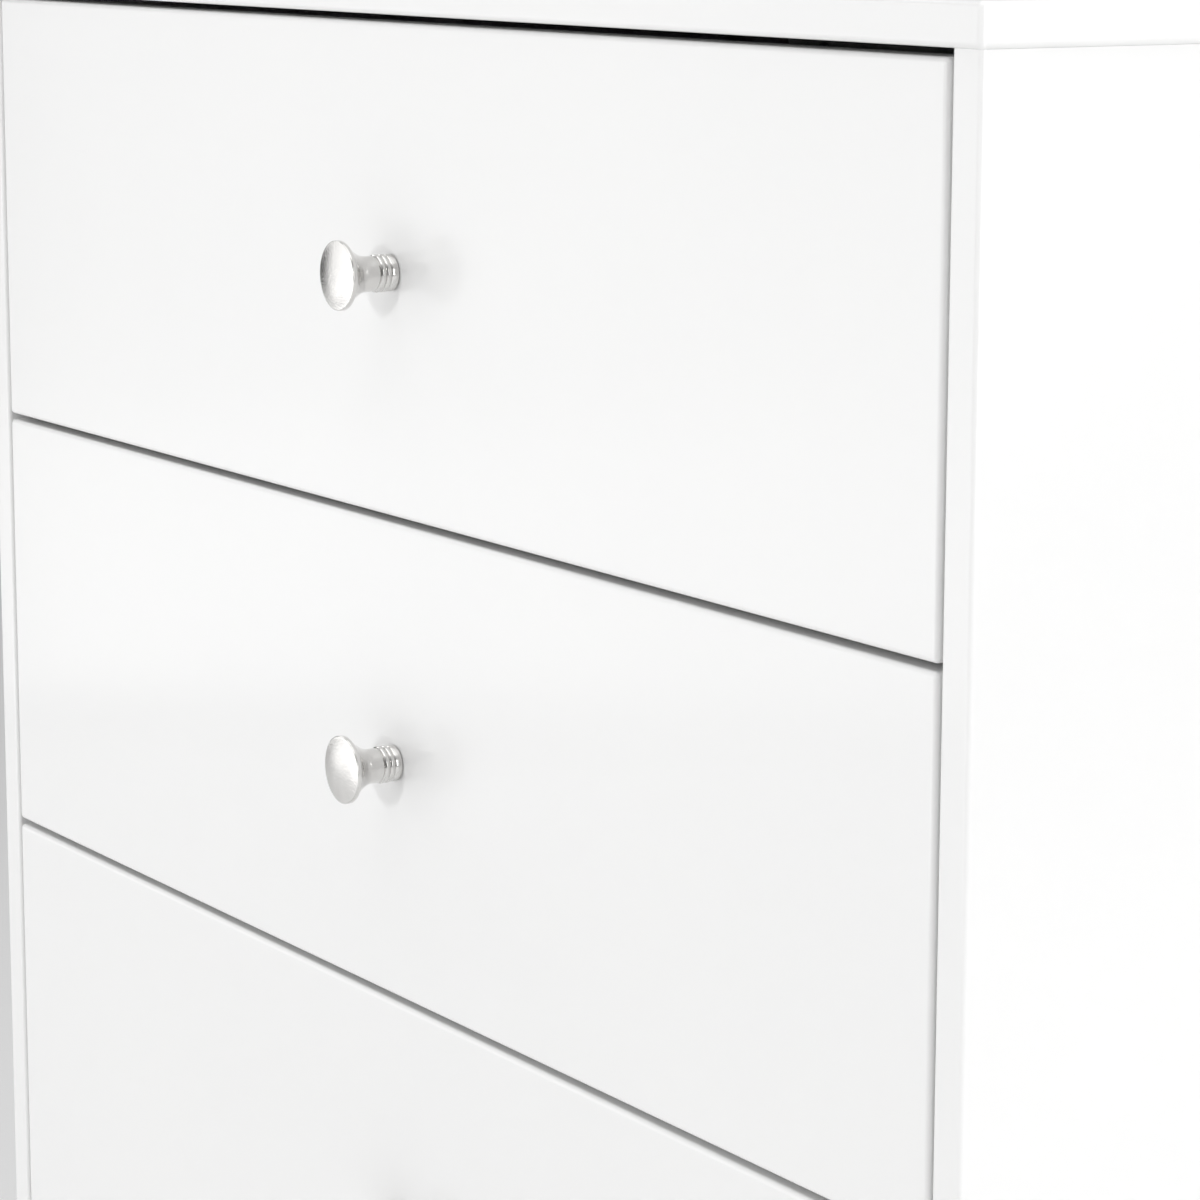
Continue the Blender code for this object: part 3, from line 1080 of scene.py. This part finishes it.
@dataclass
class Case:
    """The carcass: side panels, top, bottom, plinths, rails, back, runners and wall anchor."""

    finishes: Finishes
    fasteners: Fasteners
    panel_radius: float = 0.0020
    top_radius: float = 0.0024
    top_segments: int = 10
    board_ease: float = 0.0006
    sheet_ease: float = 0.0003
    strip_ease: float = 0.00015
    runner_ease: float = 0.0008
    nail_pitch: float = 0.105
    nail_inset: float = 0.008
    runner_screws: tuple[float, ...] = (0.035, 0.2, 0.365)
    cam_inset: float = 0.034
    cam_rows: tuple[float, ...] = (-0.14, 0.15)
    anchor_plate: float = 0.002
    anchor_hole: float = 0.0135

    def build(self) -> None:
        """Build every piece that stays with the case."""
        self._panels()
        self._plain_boards()
        self._runners()
        self._nails()
        self._cams()
        self._anchor_screws()

    def _panels(self) -> None:
        """Build the boards that are seen from outside."""
        foil, core = self.finishes.foil, self.finishes.core
        top = Board("top_panel", CASE, foil, Rounding.ALL, self.top_radius, segments=self.top_segments)
        top.build()
        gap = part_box("top_panel")[0].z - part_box("left_side_panel")[1].z
        for side in ("left", "right"):
            node = f"{side}_side_panel"
            board = Board(node, CASE, foil, Rounding.UPRIGHT, self.panel_radius, raw=core, lift_top=gap)
            board.build()
        Board("bottom_panel", CASE, foil, Rounding.LENGTHWISE, self.panel_radius).build()

    def _plain_boards(self) -> None:
        """Build the rails, plinths, back panels, joint strip and anchor."""
        foil, sheet = self.finishes.foil, self.finishes.back_board
        plastic, zinc = self.finishes.plastic, self.finishes.zinc
        for node in ("plinth_front", "plinth_rear", "top_rear_rail", "middle_rail"):
            EasedCopy(node, CASE, foil, Slot.FOIL, self.board_ease).build()
        for node in ("back_panel_upper", "back_panel_lower"):
            EasedCopy(node, CASE, sheet, Slot.HARDBOARD, self.sheet_ease).build()
        EasedCopy("back_joint_strip", CASE, plastic, Slot.PLASTIC, self.strip_ease).build()
        EasedCopy("wall_anchor_bracket", CASE, zinc, Slot.ZINC, self.sheet_ease).build()

    def _runners(self) -> None:
        """Build the runner strips and the screws in each."""
        for number in range(1, DRAWERS + 1):
            for side, facing in (("left", Facing.RIGHT), ("right", Facing.LEFT)):
                node = f"runner_{number}_{side}"
                EasedCopy(node, CASE, self.finishes.plastic, Slot.PLASTIC, self.runner_ease).build()
                low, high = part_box(node)
                face = high.x if side == "left" else low.x
                middle = (low.z + high.z) / 2
                places = [(Vector((face, low.y + run, middle)), facing) for run in self.runner_screws]
                self.fasteners.spread(f"{node}_screws", CASE, self.fasteners.screw, places)

    def _nails(self) -> None:
        """Nail the back panels round their edges."""
        low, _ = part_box("back_panel_lower")
        _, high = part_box("back_panel_upper")
        left, right = low.x + self.nail_inset, high.x - self.nail_inset
        foot, head = low.z + self.nail_inset, high.z - self.nail_inset
        places = []
        rows = round((head - foot) / self.nail_pitch)
        for row in range(rows + 1):
            height = foot + (head - foot) * row / rows
            places += [(Vector((x, high.y, height)), Facing.REAR) for x in (left, right)]
        columns = round((right - left) / self.nail_pitch)
        for column in range(1, columns):
            across = left + (right - left) * column / columns
            places += [(Vector((across, high.y, height)), Facing.REAR) for height in (foot, head)]
        self.fasteners.spread("back_panel_nails", CASE, self.fasteners.nail, places)

    def _cams(self) -> None:
        """Set the cam fittings of the bottom panel, the middle rail, the plinths and the rear rail."""
        places = []
        low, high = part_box("bottom_panel")
        for x in (low.x + self.cam_inset, high.x - self.cam_inset):
            places += [(Vector((x, y, low.z)), Facing.DOWN) for y in self.cam_rows]
        low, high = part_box("middle_rail")
        for x in (low.x + self.cam_inset, high.x - self.cam_inset):
            places.append((Vector((x, (low.y + high.y) / 2, low.z)), Facing.DOWN))
        upright = {"plinth_front": Facing.REAR, "plinth_rear": Facing.FRONT, "top_rear_rail": Facing.FRONT}
        for node, facing in upright.items():
            low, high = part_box(node)
            y = high.y if facing is Facing.REAR else low.y
            for x in (low.x + self.cam_inset, high.x - self.cam_inset):
                places.append((Vector((x, y, (low.z + high.z) / 2)), facing))
        self.fasteners.spread("case_cam_fittings", CASE, self.fasteners.cam, places)

    def _anchor_screws(self) -> None:
        """Put a screw in each leg of the wall anchor: one goes up, one towards the wall."""
        low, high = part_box("wall_anchor_bracket")
        middle = (low.x + high.x) / 2
        plate, hole = self.anchor_plate, self.anchor_hole
        places = [
            (Vector((middle, high.y - hole, high.z - plate)), Facing.DOWN),
            (Vector((middle, high.y - plate, high.z - hole)), Facing.FRONT),
        ]
        self.fasteners.spread("wall_anchor_screws", CASE, self.fasteners.screw, places)


# ---- the drawers


@dataclass
class Drawer:
    """One drawer: front, knob and screw, and the box behind the front."""

    number: int
    finishes: Finishes
    fasteners: Fasteners
    knob: Object
    screw: Object
    front_radius: float = 0.0023
    board_ease: float = 0.0007
    sheet_ease: float = 0.0003
    screw_gap: float = 0.0002
    cam_from_front: float = 0.034
    cam_heights: tuple[float, ...] = (0.047, 0.127)
    body: str = field(init=False)

    def __post_init__(self) -> None:
        """Name the drawer's body."""
        self.body = f"drawer_{self.number}"

    def build(self) -> None:
        """Build every piece that moves with the drawer."""
        node, foil = f"{self.body}_front", self.finishes.foil
        Board(node, self.body, foil, Rounding.ALL_BUT_REAR, self.front_radius).build()
        self._box()
        self._knob()
        self._cams()

    def _box(self) -> None:
        """Build the sides, back and bottom."""
        foil, sheet = self.finishes.box_foil, self.finishes.drawer_bottom
        for part in ("left_side", "right_side", "back"):
            node = f"{self.body}_{part}"
            EasedCopy(node, self.body, foil, Slot.BOX_FOIL, self.board_ease).build()
        node = f"{self.body}_bottom"
        EasedCopy(node, self.body, sheet, Slot.HARDBOARD, self.sheet_ease).build()

    def _knob(self) -> None:
        """Copy the knob and its screw to this drawer."""
        node = f"{self.body}_knob"
        low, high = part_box(node)
        foot = Vector(((low.x + high.x) / 2, high.y, (low.z + high.z) / 2))
        piece = Bench.copies(node + "_turned", self.knob, [(foot, Facing.FRONT)])
        place_piece(piece, self.body, Slot.NICKEL, self.finishes.nickel, node)
        _, front_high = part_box(f"{self.body}_front")
        seat = Vector((foot.x, front_high.y + self.screw_gap, foot.z))
        piece = Bench.copies(node + "_fixing", self.screw, [(seat, Facing.REAR)])
        place_piece(piece, self.body, Slot.ZINC, self.finishes.zinc, node + "_screw")

    def _cams(self) -> None:
        """Set the cam fittings in the outer faces of the drawer's sides, near its front."""
        places = []
        for side, facing in (("left", Facing.LEFT), ("right", Facing.RIGHT)):
            low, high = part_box(f"{self.body}_{side}_side")
            x = low.x if side == "left" else high.x
            y = low.y + self.cam_from_front
            places += [(Vector((x, y, low.z + up)), facing) for up in self.cam_heights]
        self.fasteners.spread(f"{self.body}_cam_fittings", self.body, self.fasteners.cam, places)


# ---- floor, light and camera


@dataclass
class SoftBox:
    """One large soft light aimed at a point."""

    name: str
    place: Triple
    target: Triple
    size: tuple[float, float]
    power: float

    def build(self) -> None:
        """Hang the light."""
        lamp = bpy.data.lights.new(self.name, "AREA")
        lamp.shape = "RECTANGLE"
        lamp.size, lamp.size_y = self.size
        lamp.energy = self.power
        holder = bpy.data.objects.new(self.name, lamp)
        bpy.context.scene.collection.objects.link(holder)
        holder.location = self.place
        aim = Vector(self.target) - Vector(self.place)
        holder.rotation_euler = aim.to_track_quat("-Z", "Y").to_euler()


@dataclass
class Studio:
    """Pale floor, soft light and the camera."""

    floor_size: float = 14.0
    floor_thickness: float = 0.02
    floor_rounding: float = 0.9
    floor_segments: int = 24
    floor_tone: float = 0.79
    floor_swing: float = 0.01
    floor_cloud: float = 0.8
    floor_roughness: float = 0.7
    ambient: float = 0.63
    backdrop: float = 1.0
    left_gloom: Triple = (-0.99, -0.14, 0.0)
    left_edge: tuple[float, float] = (0.72, 0.90)
    left_dimming: float = 0.85
    rear_gloom: Triple = (0.86, -0.50, 0.10)
    rear_edge: tuple[float, float] = (0.70, 0.92)
    rear_dimming: float = 0.68
    lens: float = 117.566
    sensor_width: float = 36.0
    clip: tuple[float, float] = (0.05, 100.0)
    camera_place: Triple = (1.42084, -1.04172, 1.18785)
    heading: float = 32.753
    tilt: float = 10.381
    roll: float = 0.137

    def build(self) -> None:
        """Build the whole studio."""
        self._floor()
        self._world()
        self._lights()
        self._camera()
        bpy.context.scene.view_settings.view_transform = "Standard"

    def _floor(self) -> None:
        """Lay a pale floor with a rounded edge, its top at zero."""
        half = self.floor_size / 2
        corner = Vector((-half, -half, -self.floor_thickness))
        piece = Bench.block("floor", corner, Vector((half, half, 0)))
        Bench.edit(piece)
        Bench.pick(piece, lambda edge: edge.calc_length() < self.floor_size / 2)
        radius = half * self.floor_rounding
        bpy.ops.mesh.bevel(offset=radius, segments=self.floor_segments, affect="EDGES")
        bpy.ops.object.mode_set(mode="OBJECT")
        recipe = Recipe("pale_floor")
        cloud = recipe.patches(recipe.noise(self.floor_cloud))
        dark: Colour = (self.floor_tone - self.floor_swing,) * 3
        light: Colour = (self.floor_tone + self.floor_swing,) * 3
        colour = recipe.mix(cloud, dark, light)
        piece.data.materials.append(recipe.dress(Base_Color=colour, Roughness=self.floor_roughness))

    def _world(self) -> None:
        """Light the room: white where the camera looks, dimmer on two sides for metal to mirror."""
        world = bpy.data.worlds.new("studio")
        bpy.context.scene.world = world
        world.use_nodes = True
        world.node_tree.nodes.clear()
        desk = NodeDesk(world.node_tree)
        direction = desk.node("TexCoord")
        left = desk.span(desk.along(direction, self.left_gloom), *self.left_edge)
        behind = desk.span(desk.along(direction, self.rear_gloom), *self.rear_edge)
        strength = self.ambient * (1 - left * self.left_dimming) * (1 - behind * self.rear_dimming)
        white = {"Color": (1.0, 1.0, 1.0)}
        room = desk.node("Background", None, {**white, "Strength": strength})
        wall = desk.node("Background", None, {**white, "Strength": self.backdrop})
        path = desk.node("LightPath", None, None, "Is Camera Ray")
        light = desk.node("MixShader", None, {0: path, 1: room, 2: wall})
        desk.feed(world.node_tree.nodes.new("ShaderNodeOutputWorld").inputs["Surface"], light)

    def _lights(self) -> None:
        """Hang the soft boxes, each aimed at a point of the chest."""
        chest, upper = (0.0, -0.1, 0.7), (0.0, -0.26, 0.9)
        low, crown = (0.2, -0.2, 0.5), (0.0, -0.2, 1.0)
        for box in (
            SoftBox("key_left", (-2.8, -2.53, 1.25), upper, (2.4, 2.4), 22.0),
            SoftBox("side_right", (3.4, 0.6, 1.6), chest, (2.4, 2.4), 56.0),
            SoftBox("front_lamp", (1.25, -4.6, 1.7), chest, (0.45, 0.6), 38.5),
            SoftBox("left_high", (-3.0, -0.7, 2.9), crown, (0.9, 1.2), 8.0),
            SoftBox("low_front", (-0.9, -2.6, 0.35), low, (1.6, 0.5), 4.8),
            SoftBox("overhead", (0.2, -0.2, 3.6), chest, (3.0, 3.0), 32.0),
        ):
            box.build()

    def _camera(self) -> None:
        """Stand the camera at the front right, a little above the top, looking down on it."""
        turn, tilt, roll = (math.radians(angle) for angle in (self.heading, self.tilt, self.roll))
        flat = math.cos(tilt)
        forward = Vector((-math.cos(turn) * flat, math.sin(turn) * flat, -math.sin(tilt)))
        level = forward.cross(Vector((0, 0, 1))).normalized()
        upright = level.cross(forward)
        right = level * math.cos(roll) + upright * math.sin(roll)
        up = upright * math.cos(roll) - level * math.sin(roll)
        lens = bpy.data.cameras.new("camera")
        lens.lens = self.lens
        lens.sensor_width = self.sensor_width
        lens.clip_start, lens.clip_end = self.clip
        camera = bpy.data.objects.new("camera", lens)
        bpy.context.scene.collection.objects.link(camera)
        turned = Matrix((right, up, -forward)).transposed().to_4x4()
        camera.matrix_world = Matrix.Translation(Vector(self.camera_place)) @ turned
        bpy.context.scene.camera = camera


def main() -> None:
    """Build the studio, then the chest in it."""
    logging.basicConfig(level=logging.INFO, format="%(name)s: %(message)s")
    Studio().build()
    finishes = Finishes.make()
    fasteners = Fasteners(finishes.zinc)
    Case(finishes, fasteners).build()
    low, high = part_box("drawer_1_knob")
    knob = KnobTurning().pattern(high.y - low.y)
    screw_low, screw_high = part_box("drawer_1_knob_screw")
    screw = KnobScrew().pattern(screw_high.y - screw_low.y)
    for number in range(1, DRAWERS + 1):
        Drawer(number, finishes, fasteners, knob, screw).build()
    Bench.discard(knob, screw)
    fasteners.discard()


if __name__ == "__main__":
    main()
